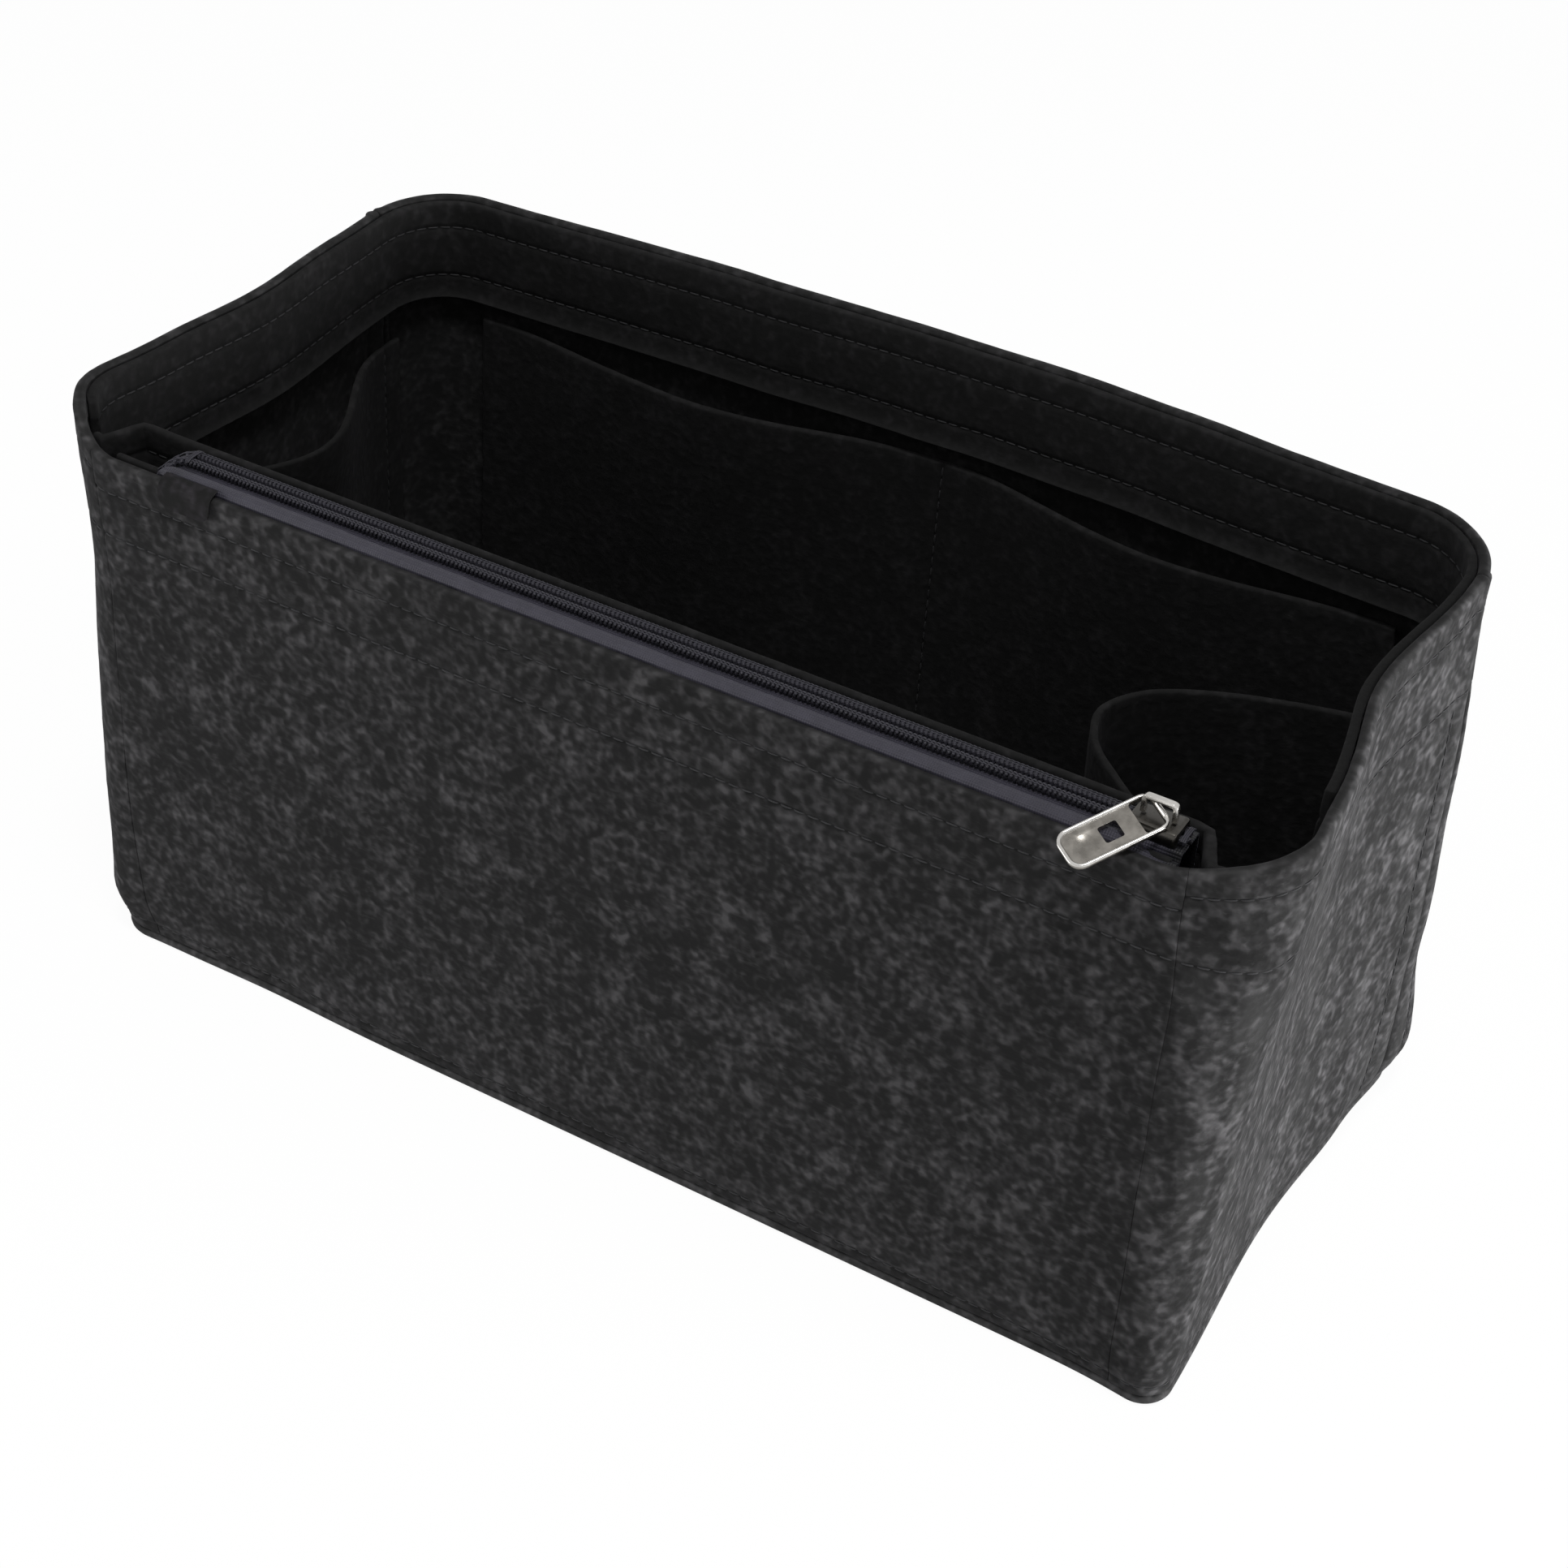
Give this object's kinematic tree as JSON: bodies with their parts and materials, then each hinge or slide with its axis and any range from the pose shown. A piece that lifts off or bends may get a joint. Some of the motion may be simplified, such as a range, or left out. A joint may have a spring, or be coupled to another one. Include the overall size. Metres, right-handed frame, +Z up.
{
  "type": "purse organizer insert",
  "caption": "Open felt bag organizer box with a zipped front pocket, slip pockets inside and a bottle loop.",
  "frame": {"origin": "middle of the underside, on the surface that the insert stands on", "axes": "+X along the length towards the bottle loop end, +Y towards the back wall, +Z up"},
  "size_m": [0.3, 0.1571, 0.1557],
  "materials": {
    "outer_felt": "heathered charcoal felt, pressed",
    "inner_felt": "heathered charcoal felt, pressed",
    "zipper_tape": "woven polyester tape",
    "zipper_coil": "nylon coil, satin",
    "thread": "polyester sewing thread",
    "nickel": "polished nickel plate"
  },
  "bodies": {
    "root": {"base_panel": "outer_felt", "front_panel": "outer_felt", "right_end_panel": "outer_felt", "left_end_panel": "outer_felt", "back_panel": "outer_felt", "rim_facing": "inner_felt", "front_facing": "inner_felt", "zip_pocket_wall": "inner_felt", "back_pocket_panel": "inner_felt", "left_end_pocket": "inner_felt", "right_end_bottle_loop": "inner_felt", "zip_front_tape": "zipper_tape", "zip_rear_tape": "zipper_tape", "zip_front_coil": "zipper_coil", "zip_rear_coil": "zipper_coil", "left_bar_tack": "thread", "right_bar_tack": "thread"},
    "slider": {"slider_body": "nickel", "slider_bridge": "nickel"},
    "pull": {"pull_tab": "nickel"}
  },
  "joints": [
    {"name": "slider_slide", "type": "slide", "parent": "root", "child": "slider", "axis": [-1, 0, 0], "range_m": [0, 0.2272]},
    {"name": "pull_hinge", "type": "hinge", "parent": "slider", "child": "pull", "pos_m": [0.123, -0.06076, 0.1531], "axis": [-0.8192, 0.539, 0.1962], "range_deg": [0, 150]}
  ]
}
